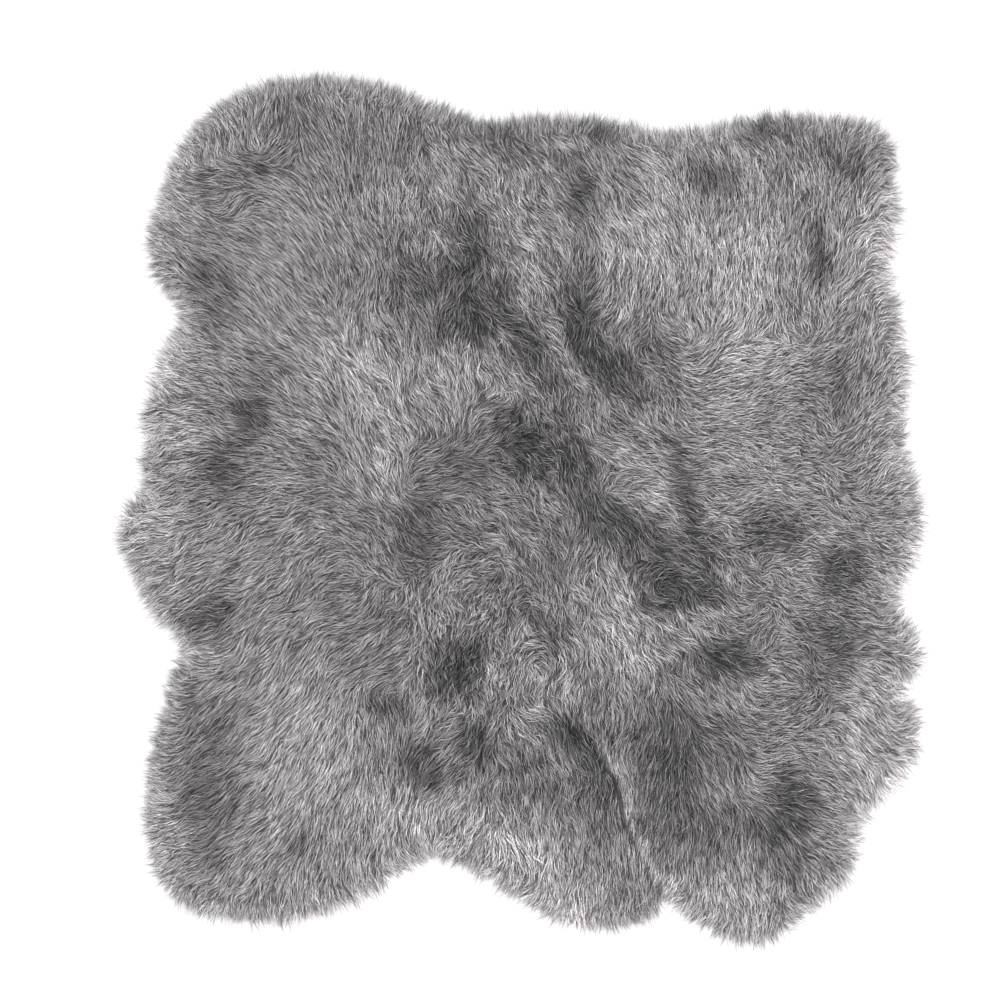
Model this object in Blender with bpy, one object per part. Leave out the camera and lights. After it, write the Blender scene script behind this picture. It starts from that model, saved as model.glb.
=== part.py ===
"""Fur rug: six sheepskin pelts sewn edge to edge, lying flat.

Each pelt is one closed solid with a flat underside, a lumpy coat of wool on top and, along the
rug's rim, a row of tapering wool locks that lie on the floor.  X runs across the rug, Y along it,
Z up; the origin is on the floor below the middle of the rug.
"""
import math
import random
from collections import namedtuple

import bmesh
import bpy
from mathutils import Matrix, Vector, noise
from mathutils.geometry import delaunay_2d_cdt, intersect_line_line_2d, intersect_point_line

# Driving sizes, in metres; the tables below are in centimetres
CM = 0.01
PILE_HEIGHT = 0.036          # usual height of the combed-over wool
RIM_HEIGHT = 0.020           # height of the wool where the rim locks start
FRINGE = 0.036               # reach of the locks past the wool's thick edge
SLOPE_WIDTH = 0.070          # the wool rises from rim height to full height over this width
SEAM_GAP = 0.0003            # space between neighbouring pelts
SEAM_DIP = 0.005             # the wool parts a little along a seam
SEAM_DIP_WIDTH = 0.022
LOCK_PITCH = 0.0235          # spacing of the rim locks
LOCK_WIDTH = 0.84            # a lock's width half way along, as a share of the pitch
LOCK_RIDGE = 0.55            # height of its ridge there, as a share of the rim height
LOCK_SPACE = 0.0015          # least space between the free ends of two locks
LOCK_UNEVEN = 0.14           # how far a root strays along the rim, as a share of the pitch
LOCK_SWEEP = 34              # locks sweep to either side in waves of up to this many degrees
LOCK_STRAY = 9               # and each strays from its wave by up to this many
SWEEP_WAVE = 0.11            # length of those waves along the rim
REACH_WAVE = 0.07            # length of the waves in the locks' reach
REACH_CHANGE = 0.22          # how much the reach changes in those waves
REACH_STRAY = (-0.16, 0.12)  # and from lock to lock
LOWER_SWEEP = 0.35           # share of its sweep that a lock's lower half takes
LOCK_TRIES = 30              # rounds of easing locks that touch a neighbour
NEIGHBOURS = (1, 2, 3)       # a lock is compared with the next three
EASE_SWEEP = 0.7             # each round keeps this share of their sweep
EASE_REACH = 0.93            # and of their reach
SEAM_STEP = 0.030            # spacing of the points along a seam
CURVE_PARTS = 24             # steps between two rows of a table when its curve is drawn
TIP_STEP = 0.008             # spacing of the points along the line of the tips
EDGE_STEP = 0.006            # and along the wool's thick edge
KEPT_SHARE = 0.985           # an inset point this near the full distance from the line is kept
THIN_OUT = 3                 # every third point is enough to draw or measure that edge
LEAST_LEAN = 0.35            # limits how far a sharp corner is moved for the seam's gap
SAME_SPOT = 1e-7             # points nearer than this are one
GRID_STEP = 0.031            # spacing of the points over the wool
GRID_JITTER = 0.0058         # how far a point strays from its row
GRID_CLEAR = 0.45            # least distance from a pelt's edge, as a share of the grid's step
TUFT_RISE = 0.0075           # height of the uneven tufts between the larger lumps
TUFT_SIZE = 0.095            # their spacing
FINE_TUFTS = 0.5             # height of the finer tufts on top, as a share of the others
FINE_SCALE = 2.1             # and how much closer together they are
EDGE_TUFTS = 0.3             # share of the lumps' height that is left at the wool's edge
WOOL_GREY = (0.235, 0.225, 0.228, 1.0)
SEED = 11

# The line that the wool's tips reach, clockwise from the back left shoulder, in centimetres:
# a row for each bulge, step and bay
Place = namedtuple("Place", "x y")
BACK_RIM = (
    Place(-74.1, 73.6), Place(-67.6, 83.1), Place(-59.4, 88.1), Place(-45.4, 91.5),
    Place(-29.0, 89.6), Place(-21.6, 86.4), Place(-10.1, 82.2), Place(6.1, 82.8),
    Place(16.8, 82.2), Place(27.5, 79.5), Place(39.7, 80.7), Place(54.0, 83.5),
    Place(66.2, 81.8), Place(76.7, 81.2),
)
RIGHT_RIM = (
    Place(78.1, 73.6), Place(78.3, 57.4), Place(77.1, 48.2), Place(80.6, 35.8),
    Place(81.1, 25.3), Place(80.0, 15.2), Place(84.4, -2.6), Place(79.2, -19.0),
    Place(85.7, -32.2), Place(81.3, -37.9), Place(84.0, -47.8), Place(77.5, -58.9),
    Place(71.4, -65.8), Place(72.5, -70.5),
)
FRONT_RIM = (
    Place(63.0, -82.4), Place(50.8, -90.8), Place(41.2, -89.8), Place(30.9, -83.5),
    Place(25.4, -86.8), Place(16.0, -88.1), Place(7.6, -87.0), Place(-2.7, -80.3),
    Place(-13.0, -74.9), Place(-20.8, -73.2), Place(-30.2, -79.3), Place(-45.8, -85.6),
    Place(-54.8, -86.6), Place(-65.1, -85.6), Place(-73.1, -82.4), Place(-77.9, -74.9),
)
LEFT_RIM = (
    Place(-79.6, -59.7), Place(-77.9, -46.1), Place(-72.9, -30.3), Place(-76.2, -24.5),
    Place(-81.3, -16.5), Place(-86.1, -2.2), Place(-80.9, 4.7), Place(-80.4, 14.8),
    Place(-78.8, 28.2), Place(-73.1, 40.4), Place(-77.1, 47.6), Place(-79.6, 56.4),
    Place(-76.7, 65.4),
)

# The seams, in centimetres; the two crossings are where three stretches meet
LEFT_CROSSING = Place(-26.0, 3.9)
RIGHT_CROSSING = Place(9.7, 9.6)
SEAMS = {
    "left_front": (Place(-20.2, -70.2), Place(-23.5, -54.5), Place(-28.6, -37.7),
                   Place(-27.7, -16.7), LEFT_CROSSING),
    "left_back": (LEFT_CROSSING, Place(-27.7, 25.0), Place(-27.3, 41.0), Place(-22.8, 60.0),
                  Place(-13.0, 79.9)),
    "right_front": (Place(30.7, -80.3), Place(21.8, -67.1), Place(13.9, -47.8),
                    Place(6.5, -27.2), Place(6.7, -8.3), RIGHT_CROSSING),
    "right_back": (RIGHT_CROSSING, Place(11.3, 34.8), Place(14.3, 58.9), Place(26.9, 75.7)),
    "cross_left": (Place(-76.9, 3.9), Place(-55.4, 5.6), LEFT_CROSSING),
    "cross_middle": (LEFT_CROSSING, Place(-8.2, 10.2), RIGHT_CROSSING),
    "cross_right": (RIGHT_CROSSING, Place(41.2, 6.8), Place(64.3, 11.7), Place(76.4, 14.8)),
}

# Each pelt, clockwise: the seam ends that its rim runs between, then the seams back to the start;
# a seam is walked backwards where its turn is -1
Pelt = namedtuple("Pelt", "name rim_from rim_to seams")
Walk = namedtuple("Walk", "seam turn")
PELTS = (
    Pelt("pelt_back_left", "cross_left", "left_back",
         (Walk("left_back", -1), Walk("cross_left", -1))),
    Pelt("pelt_back_middle", "left_back", "right_back",
         (Walk("right_back", -1), Walk("cross_middle", -1), Walk("left_back", 1))),
    Pelt("pelt_back_right", "right_back", "cross_right",
         (Walk("cross_right", -1), Walk("right_back", 1))),
    Pelt("pelt_front_right", "cross_right", "right_front",
         (Walk("right_front", 1), Walk("cross_right", 1))),
    Pelt("pelt_front_middle", "right_front", "left_front",
         (Walk("left_front", 1), Walk("cross_middle", 1), Walk("right_front", -1))),
    Pelt("pelt_front_left", "left_front", "cross_left",
         (Walk("cross_left", 1), Walk("left_front", -1))),
)

# Larger lumps and hollows of the wool: middle, heading of the long way in degrees from +X,
# length, width and rise, in centimetres
Lump = namedtuple("Lump", "x y heading length width rise")
LUMPS = (
    Lump(-13.4, 49.5, 95, 28, 12, -1.0), Lump(16.4, 77.8, 0, 7, 6, -0.4),
    Lump(1.3, 74.0, 160, 11, 7, -0.4), Lump(9.7, 32.7, 115, 19, 9, -1.0),
    Lump(38.6, 70.5, 160, 11, 6, -0.5), Lump(61.1, 57.9, 90, 17, 6, -0.5),
    Lump(-57.5, 19.4, 60, 9, 7, -0.5), Lump(-63.4, 7.5, 60, 9, 7, -0.5),
    Lump(-64.3, -20.9, 0, 11, 7, -0.5), Lump(-23.9, -4.1, 110, 15, 10, -0.6),
    Lump(5.5, 10.6, 0, 22, 12, -1.0), Lump(20.2, -3.0, 130, 17, 9, -0.8),
    Lump(31.7, -13.5, 120, 19, 10, -1.0), Lump(49.6, -2.0, 90, 9, 8, -0.4),
    Lump(65.3, -11.9, 60, 9, 7, -0.6), Lump(43.3, -30.8, 0, 10, 7, -0.5),
    Lump(-62.8, -55.5, 90, 17, 8, -0.4), Lump(-24.4, -49.2, 110, 20, 9, -0.9),
    Lump(10.7, -48.2, 150, 12, 9, -0.8), Lump(16.0, -62.9, 95, 20, 7, -0.5),
    Lump(45.4, -63.9, 120, 19, 10, -0.6), Lump(54.8, -60.8, 60, 10, 9, -0.9),
    Lump(-47.0, -69.6, 90, 11, 6, -0.5), Lump(1.3, 54.7, 110, 21, 12, 0.6),
    Lump(24.4, 56.8, 100, 25, 18, 0.6), Lump(-29.2, 24.3, 110, 28, 14, 0.6),
    Lump(25.4, 7.5, 0, 14, 11, 0.5), Lump(21.2, -32.4, 100, 25, 9, 0.6),
    Lump(-40.7, -48.2, 80, 30, 15, 0.5), Lump(-7.1, -70.2, 10, 15, 10, 0.4),
    Lump(72.7, -49.2, 90, 28, 12, 0.4), Lump(47.5, 37.9, 0, 30, 16, 0.5),
)

Lock = namedtuple("Lock", "start left tip right end ridge_root ridge_middle")


def in_metres(rows):
    return [Vector((row.x * CM, row.y * CM)) for row in rows]


def smooth_line(rows, closed, step):
    """Points about one step apart on the smooth curve through the rows."""
    if closed:
        rows = rows[-1:] + rows + rows[:2]
    else:
        rows = rows[:1] + rows + rows[-1:]
    dense = []
    for p0, p1, p2, p3 in zip(rows, rows[1:], rows[2:], rows[3:]):
        for k in range(CURVE_PARTS):
            t = k / CURVE_PARTS
            dense.append(0.5 * (2 * p1 + (p2 - p0) * t + (2 * p0 - 5 * p1 + 4 * p2 - p3) * t ** 2
                                + (3 * p1 - p0 - 3 * p2 + p3) * t ** 3))
    dense.append(rows[-2].copy())
    count = max(2, round(line_length(dense) / step))
    line = points_along(dense, [k / count for k in range(count + 1)])
    return line[:-1] if closed else line


def line_length(line):
    return sum((b - a).length for a, b in zip(line, line[1:]))


def points_along(line, shares):
    """The points at the given shares of a line's length."""
    reached = [0.0]
    for a, b in zip(line, line[1:]):
        reached.append(reached[-1] + (b - a).length)
    points, i = [], 0
    for wanted in shares:
        goal = wanted * reached[-1]
        while i < len(line) - 2 and reached[i + 1] < goal:
            i += 1
        share = (goal - reached[i]) / max(reached[i + 1] - reached[i], 1e-9)
        points.append(line[i].lerp(line[i + 1], min(max(share, 0.0), 1.0)))
    return points


def outward(loop, i):
    """Outward direction of a clockwise closed loop at point i."""
    along = loop[(i + 1) % len(loop)] - loop[i - 1]
    return Vector((-along.y, along.x)).normalized()


def line_distance(point, a, b):
    """Distance from a point to the segment between a and b."""
    share = intersect_point_line(point, a, b)[1]
    return (point - a.lerp(b, min(max(share, 0.0), 1.0))).length


def distance_to(point, line):
    return min(line_distance(point, a, b) for a, b in zip(line, line[1:]))


def inset_loop(loop, amount):
    """A clockwise loop moved inwards, without the points that would cross over."""
    moved = [p - outward(loop, i) * amount for i, p in enumerate(loop)]
    kept = [q for q in moved if min((q - p).length for p in loop) > KEPT_SHARE * amount]
    return smooth_line(kept[::THIN_OUT], True, EDGE_STEP)


def inside(point, loop):
    """Whether a point lies within a closed loop."""
    crossings = 0
    for a, b in zip(loop, loop[1:] + loop[:1]):
        if (a.y > point.y) != (b.y > point.y):
            if point.x < a.x + (b.x - a.x) * (point.y - a.y) / (b.y - a.y):
                crossings += 1
    return crossings % 2 == 1


def nearest(point, line):
    return min(range(len(line)), key=lambda i: (line[i] - point).length)


def smooth_step(t):
    t = min(max(t, 0.0), 1.0)
    return t * t * (3 - 2 * t)


def wool_height(point, wool_edge, seam_lines):
    """Height of the wool's surface above the floor."""
    rise = smooth_step(distance_to(point, wool_edge) / SLOPE_WIDTH)
    lumps = 0.0
    for lump in LUMPS:
        offset = point - Vector((lump.x, lump.y)) * CM
        turn = math.radians(lump.heading)
        along = (offset.x * math.cos(turn) + offset.y * math.sin(turn)) / (0.5 * lump.length * CM)
        across = (offset.y * math.cos(turn) - offset.x * math.sin(turn)) / (0.5 * lump.width * CM)
        lumps += lump.rise * CM * math.exp(-along * along - across * across)
    spot = point.to_3d() / TUFT_SIZE
    lumps += TUFT_RISE * (noise.noise(spot) + FINE_TUFTS * noise.noise(spot * FINE_SCALE))
    seam_way = min(distance_to(point, line) for line in seam_lines)
    lumps -= SEAM_DIP * math.exp(-(seam_way / SEAM_DIP_WIDTH) ** 2)
    lumps *= EDGE_TUFTS + (1 - EDGE_TUFTS) * rise
    return RIM_HEIGHT + rise * (PILE_HEIGHT - RIM_HEIGHT) + lumps


def lock_shape(start, end, facing, sweep, reach):
    """A lock that tapers from its root between start and end to a tip on the floor."""
    root = start.lerp(end, 0.5)
    lean_out = Matrix.Rotation(sweep * LOWER_SWEEP, 2) @ facing
    middle = root + lean_out * reach * 0.5
    tip = middle + Matrix.Rotation(sweep, 2) @ facing * reach * 0.5
    side = Vector((-lean_out.y, lean_out.x)) * (start - end).length * LOCK_WIDTH * 0.5
    if side.dot(start - end) < 0:
        side.negate()
    return Lock(start, middle + side, tip, middle - side, end, root, middle)


def locks_cross(first, second):
    """Whether the free ends of two locks touch or nearly do."""
    edges_a = ((first.left, first.tip), (first.tip, first.right))
    edges_b = ((second.left, second.tip), (second.tip, second.right))
    for a0, a1 in edges_a:
        for b0, b1 in edges_b:
            if intersect_line_line_2d(a0, a1, b0, b1):
                return True
            near = min(line_distance(a0, b0, b1), line_distance(a1, b0, b1),
                       line_distance(b0, a0, a1), line_distance(b1, a0, a1))
            if near < LOCK_SPACE:
                return True
    return False


def rim_locks(stretch, rng):
    """Roots, facing, sweep and reach of each lock along one pelt's stretch of the rim, in order."""
    count = round(line_length(stretch) / LOCK_PITCH)
    shares = [(k + (rng.uniform(-LOCK_UNEVEN, LOCK_UNEVEN) if 0 < k < count else 0.0)) / count
              for k in range(count + 1)]
    roots = points_along(stretch, shares)
    rows = []
    for start, end in zip(roots, roots[1:]):
        along = end - start
        facing = Vector((-along.y, along.x)).normalized()
        wave = noise.noise((start / SWEEP_WAVE).to_3d())
        sweep = math.radians(LOCK_SWEEP * wave + rng.uniform(-LOCK_STRAY, LOCK_STRAY))
        wave = noise.noise((start / REACH_WAVE).to_3d())
        reach = FRINGE * (1.0 + REACH_CHANGE * wave + rng.uniform(*REACH_STRAY))
        rows.append([start, end, facing, sweep, reach])
    return rows


def clear_locks(rows):
    """Shortens and straightens the locks that would touch a neighbour."""
    locks = [lock_shape(*row) for row in rows]
    for _ in range(LOCK_TRIES):
        touching = set()
        for i in range(len(locks)):
            for ahead in NEIGHBOURS:
                j = (i + ahead) % len(locks)
                if locks_cross(locks[i], locks[j]):
                    touching.update((i, j))
        if not touching:
            break
        for i in touching:
            rows[i][3] *= EASE_SWEEP
            rows[i][4] *= EASE_REACH
            locks[i] = lock_shape(*rows[i])
    return locks


def fill(points, outline_size):
    """Triangles over the first outline_size points' loop that use every point inside it."""
    found = delaunay_2d_cdt(points, [], [list(range(outline_size))], 1, SAME_SPOT)
    if len(found[0]) != len(points):
        raise ValueError("an outline crosses itself")
    return found[2]


def seam_clearance(loop, i):
    """Point i of a clockwise loop, moved inwards by half the gap between two pelts."""
    before = (loop[i] - loop[i - 1]).normalized()
    after = (loop[(i + 1) % len(loop)] - loop[i]).normalized()
    inward = Vector((before.y + after.y, -before.x - after.x)).normalized()
    lean = max(LEAST_LEAN, inward.dot(Vector((after.y, -after.x))))
    return loop[i] + inward * SEAM_GAP / 2 / lean


def scattered_points(outline, rng):
    """Points in uneven rows within an outline, clear of its edge."""
    closed_line = outline + outline[:1]
    spots, row = [], 0
    y = min(p.y for p in outline)
    while y < max(p.y for p in outline):
        x = min(p.x for p in outline) + (row % 2) * GRID_STEP / 2
        while x < max(p.x for p in outline):
            stray = Vector((rng.uniform(-1, 1), rng.uniform(-1, 1))) * GRID_JITTER
            spot = Vector((x, y)) + stray
            if inside(spot, outline) and distance_to(spot, closed_line) > GRID_STEP * GRID_CLEAR:
                spots.append(spot)
            x += GRID_STEP
        y += GRID_STEP * math.sqrt(3) / 2
        row += 1
    return spots


def pelt_solid(name, locks, seam_points, height_at, rng):
    """One pelt as a closed solid: flat underside, seam walls, wool on top and rim locks."""
    count = len(locks)
    roots = [lock.start for lock in locks] + seam_points
    cleared = [seam_clearance(roots, i) for i in range(len(roots))]
    roots = [cleared[i] if i == 0 or i >= count else roots[i] for i in range(len(roots))]
    mesh = bmesh.new()

    # Flat underside, out to the tips of the locks
    plan = []
    for root, lock in zip(roots, locks):
        plan += [root, lock.left, lock.tip, lock.right]
    plan += roots[count:]
    floor = [mesh.verts.new((*p, 0.0)) for p in plan]
    floor_roots = floor[0:4 * count:4] + floor[4 * count:]
    for face in fill(plan, len(plan)):
        mesh.faces.new([floor[k] for k in face])

    # Wool over the thick part; it meets the floor only between the locks
    ridge_roots = [mesh.verts.new((*lock.ridge_root, RIM_HEIGHT)) for lock in locks]
    outline, verts = [], []
    for i, lock in enumerate(locks):
        outline += [roots[i], lock.ridge_root]
        verts += [floor_roots[i], ridge_roots[i]]
    seam_tops = [mesh.verts.new((*p, height_at(p))) for p in roots[count + 1:]]
    outline += roots[count:]
    verts += [floor_roots[count]] + seam_tops
    spots = scattered_points(outline, rng)
    verts += [mesh.verts.new((*p, height_at(p))) for p in spots]
    for face in fill(outline + spots, len(outline)):
        mesh.faces.new([verts[k] for k in face])

    # Rim locks: a slope on each side of a ridge that runs down to the tip
    for i, lock in enumerate(locks):
        start, left, tip, right = floor[4 * i:4 * i + 4]
        end = floor_roots[i + 1]
        root = ridge_roots[i]
        ridge = mesh.verts.new((*lock.ridge_middle, RIM_HEIGHT * LOCK_RIDGE))
        for corners in ((start, left, ridge), (start, ridge, root), (left, tip, ridge),
                        (tip, right, ridge), (right, end, ridge), (end, root, ridge)):
            mesh.faces.new(corners)

    # Seam walls; the first and the last narrow to nothing at the rim
    low = floor_roots[count:] + floor_roots[:1]
    high = [low[0]] + seam_tops + [low[-1]]
    for i in range(len(low) - 1):
        if i == 0:
            mesh.faces.new((low[0], low[1], high[1]))
        elif i == len(low) - 2:
            mesh.faces.new((low[i], low[i + 1], high[i]))
        else:
            mesh.faces.new((low[i], low[i + 1], high[i + 1], high[i]))

    bmesh.ops.triangulate(mesh, faces=mesh.faces)
    bmesh.ops.recalc_face_normals(mesh, faces=mesh.faces)
    data = bpy.data.meshes.new(name)
    mesh.to_mesh(data)
    mesh.free()
    data.materials.append(wool_material(name + "_wool"))
    piece = bpy.data.objects.new(name, data)
    bpy.context.scene.collection.objects.link(piece)
    return piece


def wool_material(name):
    material = bpy.data.materials.new(name)
    material.use_nodes = True
    shader = material.node_tree.nodes["Principled BSDF"]
    shader.inputs["Base Color"].default_value = WOOL_GREY
    shader.inputs["Roughness"].default_value = 0.9
    shader.inputs["Metallic"].default_value = 0.0
    material.diffuse_color = WOOL_GREY
    return material


def main():
    for old in list(bpy.data.objects):
        bpy.data.objects.remove(old)
    rng = random.Random(SEED)
    tips = smooth_line(in_metres(BACK_RIM + RIGHT_RIM + FRONT_RIM + LEFT_RIM), True, TIP_STEP)
    wool_edge = inset_loop(tips, FRINGE)

    # Each seam that reaches the rim ends on the wool's edge
    seams, rim_ends = {}, {}
    for name, rows in SEAMS.items():
        points = in_metres(rows)
        if rows[0] not in (LEFT_CROSSING, RIGHT_CROSSING):
            rim_ends[name] = nearest(points[0], wool_edge)
            points[0] = wool_edge[rim_ends[name]].copy()
        if rows[-1] not in (LEFT_CROSSING, RIGHT_CROSSING):
            rim_ends[name] = nearest(points[-1], wool_edge)
            points[-1] = wool_edge[rim_ends[name]].copy()
        seams[name] = smooth_line(points, False, SEAM_STEP)

    # The rim's locks go round the whole rug, so that neighbours on two pelts stay apart too
    rows, counts = [], []
    for pelt in PELTS:
        first, last = rim_ends[pelt.rim_from], rim_ends[pelt.rim_to]
        span = (last - first) % len(wool_edge)
        stretch = [wool_edge[(first + k) % len(wool_edge)] for k in range(span + 1)]
        stretch_rows = rim_locks(stretch, rng)
        rows += stretch_rows
        counts.append(len(stretch_rows))
    locks = clear_locks(rows)
    reached_x = [point.x for lock in locks for point in (lock.left, lock.tip, lock.right)]
    reached_y = [point.y for lock in locks for point in (lock.left, lock.tip, lock.right)]
    middle = Vector((min(reached_x) + max(reached_x), min(reached_y) + max(reached_y))) / 2

    edge_line = wool_edge[::THIN_OUT] + wool_edge[:1]
    seam_lines = list(seams.values())

    def height_at(point):
        return wool_height(point, edge_line, seam_lines)

    used = 0
    for pelt, count in zip(PELTS, counts):
        seam_points = []
        for walk in pelt.seams:
            line = seams[walk.seam][::walk.turn]
            seam_points += line if not seam_points else line[1:]
        piece = pelt_solid(pelt.name, locks[used:used + count], seam_points[:-1], height_at, rng)
        piece.location = (-middle.x, -middle.y, 0.0)
        used += count


main()
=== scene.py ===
"""Looks of the fur rug: six sheepskins sewn edge to edge, with long combed wool, seen from above.

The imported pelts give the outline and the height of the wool. Each pelt gets a dense undercoat, a
piece of joined wool strands, a fringe of strands over its rim and its skin underneath, and thread
sews the skins together. Tables are in centimetres from the middle of the rug, with X to the right
and Y up the photograph.
"""
import math
from collections import namedtuple

import bmesh
import bpy
import numpy as np
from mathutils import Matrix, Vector, kdtree
from mathutils.bvhtree import BVHTree

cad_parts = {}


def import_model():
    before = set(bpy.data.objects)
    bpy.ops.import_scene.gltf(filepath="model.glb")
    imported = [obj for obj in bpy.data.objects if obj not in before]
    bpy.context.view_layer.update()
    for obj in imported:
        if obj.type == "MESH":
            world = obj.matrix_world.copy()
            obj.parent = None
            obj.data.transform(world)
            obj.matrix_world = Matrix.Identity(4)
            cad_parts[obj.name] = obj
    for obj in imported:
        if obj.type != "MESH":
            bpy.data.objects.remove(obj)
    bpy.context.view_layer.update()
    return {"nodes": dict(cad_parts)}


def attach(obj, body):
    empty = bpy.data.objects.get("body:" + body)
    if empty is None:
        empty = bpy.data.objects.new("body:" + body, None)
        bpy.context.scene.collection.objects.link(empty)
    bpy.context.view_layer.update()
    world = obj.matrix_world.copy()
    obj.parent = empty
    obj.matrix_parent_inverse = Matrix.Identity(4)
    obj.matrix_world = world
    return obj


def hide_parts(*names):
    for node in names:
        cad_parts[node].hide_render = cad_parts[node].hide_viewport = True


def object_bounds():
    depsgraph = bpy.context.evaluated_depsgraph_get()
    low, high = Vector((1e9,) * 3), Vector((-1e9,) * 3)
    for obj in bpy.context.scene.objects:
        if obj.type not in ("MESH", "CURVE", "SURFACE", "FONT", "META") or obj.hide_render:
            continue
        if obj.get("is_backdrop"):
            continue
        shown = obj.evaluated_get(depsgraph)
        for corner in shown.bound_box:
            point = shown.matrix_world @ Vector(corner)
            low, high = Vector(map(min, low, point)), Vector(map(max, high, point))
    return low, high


CM = 0.01
MM = 0.001
WELD = 1e-5  # points nearer than this are joined
TINY = 1e-9  # keeps a division away from zero
SEED = 23
RUG_MIDDLE = np.array((0.007, 0.0001))  # where the tables' middle lies in the frame
WOOL_COLOUR = (0.489, 0.469, 0.475)

# Camera: straight above the middle of the photograph's frame
CAMERA_AT = (-0.043, 0.022)
CAMERA_HEIGHT = 3.6
FRAME_WIDTH = 2.1  # what the photograph's width spans at the height of the rim
RIM_HEIGHT = 0.005
SENSOR = 36.0

# Studio: a broad key light from the back left, a weak fill and an even sky
KEY_AT, KEY_POWER, KEY_SOFTNESS = (-1.8, 1.6, 2.6), 2.2, math.radians(28)
FILL_AT, FILL_POWER, FILL_SIZE = (2.2, -1.2, 3.0), 20, 3.0
SKY_STRENGTH = 0.6
FLOOR_REACH = 12
FLOOR_DROP = 0.5 * MM
FLOOR_COLOUR = (0.92, 0.92, 0.92, 1.0)

# Maps over the rug, on which heights, directions and tones are looked up
MAP_STEP = 4 * MM
MAP_MARGIN = 0.08
RIM_BLUR = 12 * MM  # takes the single locks out of the line of the rim
OUT_BLUR = 16 * MM
TOP_BLUR = 9 * MM

# Which way the wool lies: near the rim it turns outwards, less so at the back, and it wavers
FLOW_DOWN = 0.5
FLOW_OUT = 0.6  # this many metres from the middle it goes twice as much outwards as down
RIM_TURN = 1.3  # beside 1 for the strokes
RIM_TURN_REACH = 32 * MM
BACK_RIM_LESS = 0.8
WAVER = math.radians(8)
WAVER_REACHES = (8 * MM, 20 * MM)
LEAST_WAVER = 0.35  # beside the roughness
FAN_WAVER = 1.5

# Wool strands
BODY_STRANDS = 243000
FRINGE_STRANDS = 58000
BODY_LENGTH = (31 * MM, 53 * MM)
FRINGE_LENGTH = (28 * MM, 51 * MM)
BODY_HALF_WIDTH = (0.48 * MM, 0.45 * MM)
FRINGE_HALF_WIDTH = (0.44 * MM, 0.36 * MM)
LEAST_WIDTH, MORE_WIDTH = 0.8, 0.4
SKIN_DEPTH = 12 * MM  # strands root at least this far inside the rim
FRINGE_DEPTH = 38 * MM  # and those of the fringe at most this far
BODY_DEPTH = 6 * MM  # the middles of the others lie at least this far inside
FAR_INSIDE = 9.0
LEAN_SPLIT = 1.2  # where streaks lie across the flow, up to half the strands lean back
STRAND_TURN = math.radians(7)
STRAY_TURN = math.radians(20)
BODY_STRAYS, FRINGE_STRAYS = 0.11, 0.3
STRAND_BEND = 1.2 * MM
STRAND_ROLL = math.radians(28)
STRAND_LIFT = (-8 * MM, 3 * MM)
LIFT_ALONG = (0.0, 0.8, 1.0)  # the share of the lift at root, middle and tip
PROFILE = (0.5, 0.95, 0.95)  # height there, as a share of the wool's
HEIGHT_RANGE = (0.6 * MM, 56 * MM)
LOWEST = 0.3 * MM  # above the floor, for the edges of a strand

# The fringe: more uneven, a little longer on the right, and some of it longer everywhere
FRINGE_TURN = math.radians(9)
FRINGE_RIGHT = 0.08
FRINGE_LONG, FRINGE_LONG_SHARE = 0.22, 0.12
FRINGE_TUFTED = 0.3

# Clumps: a few strands that turn, rise and end together, the more so where the wool is rough
CLUMP_SPACING = 9 * MM
CLUMP_DEPTH = 4 * MM
CLUMP_TURN = math.radians(7)
CLUMP_LENGTH = (0.88, 1.12)
CLUMP_LIFT = 1.3 * MM
CLUMP_TONE = 0.04
CLUMPED_LEAST, CLUMPED_ROUGH = 0.2, 1.3
PULL = (0.3, 0.7)  # how far tips draw together
PULL_LEAST, PULL_ROUGH = 0.1, 0.45
PULL_STRAY = 0.05
PULL_CURVE = 1.2

# Tufts: cells of wool that rise toward their tips, with painted light on the risen tips and painted shade
# on the sunken roots, and lean their own way
TUFT_SPACING = 44 * MM
TUFT_UNEVEN = 0.4
TUFT_HALF = 0.6  # of the spacing
TUFT_DRIFT = 11 * MM
TUFT_DRIFT_REACH = 22 * MM
TUFT_TURN = math.radians(15)
TUFT_LIFT = 5.5 * MM
# painted light and shade from the root side to the tip side of a tuft
TUFT_PAINTED_SHADING = 0.13

# Tone of the strands, beside the colour of the wool
USUAL_TONE = 1.28
TONE_SPREAD, TONE_SPREAD_ROUGH = 0.33, 0.11
TONE_RANGE = (0.2, 1.48)
# a share of the strands is made nearly black, painted shade for the gaps between the locks
GAP_PAINTED_SHADE_SHARE, GAP_PAINTED_SHADE_SHARE_ROUGH = 0.30, 0.05
GAP_PAINTED_SHADE = 0.17
TONE_TAKEN = (0.3, 1.7)  # how strongly a strand follows the tone of the map
# each strand is darker at its root, painted shade where the root lies deep in the wool
PAINTED_SHADE_ALONG = (0.5, 0.5, 0.95, 0.95, 1.05)  # lightness along a strand, root to tip
MOTTLED = (0.6, 1.4)  # and how much that changes from one point to the next

# Tone of the map, in percent of the photograph's greys, and the pale rim
EDGE_WAVER, EDGE_WAVER_REACH = 7 * MM, 9 * MM
PATCH_FALL, PATCH_FLAT = 0.8, 1.6
UNEVEN = ((2.5, 8 * MM), (3.5, 18 * MM))
UNEVEN_LEAST, UNEVEN_ROUGH = 0.15, 0.95
BROAD, BROAD_REACH = 3.0, 45 * MM
LOWEST_TONE = 0.3
GREY_TO_LIGHT = 2.2
# the pale rim is painted light, standing for the pale floor seen through the thin wool
PALE_RIM, PALE_RIGHT, PALE_BACK = 0.5, 0.45, 0.4
PALE_FROM, PALE_REACH = 16 * MM, 28 * MM

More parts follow.
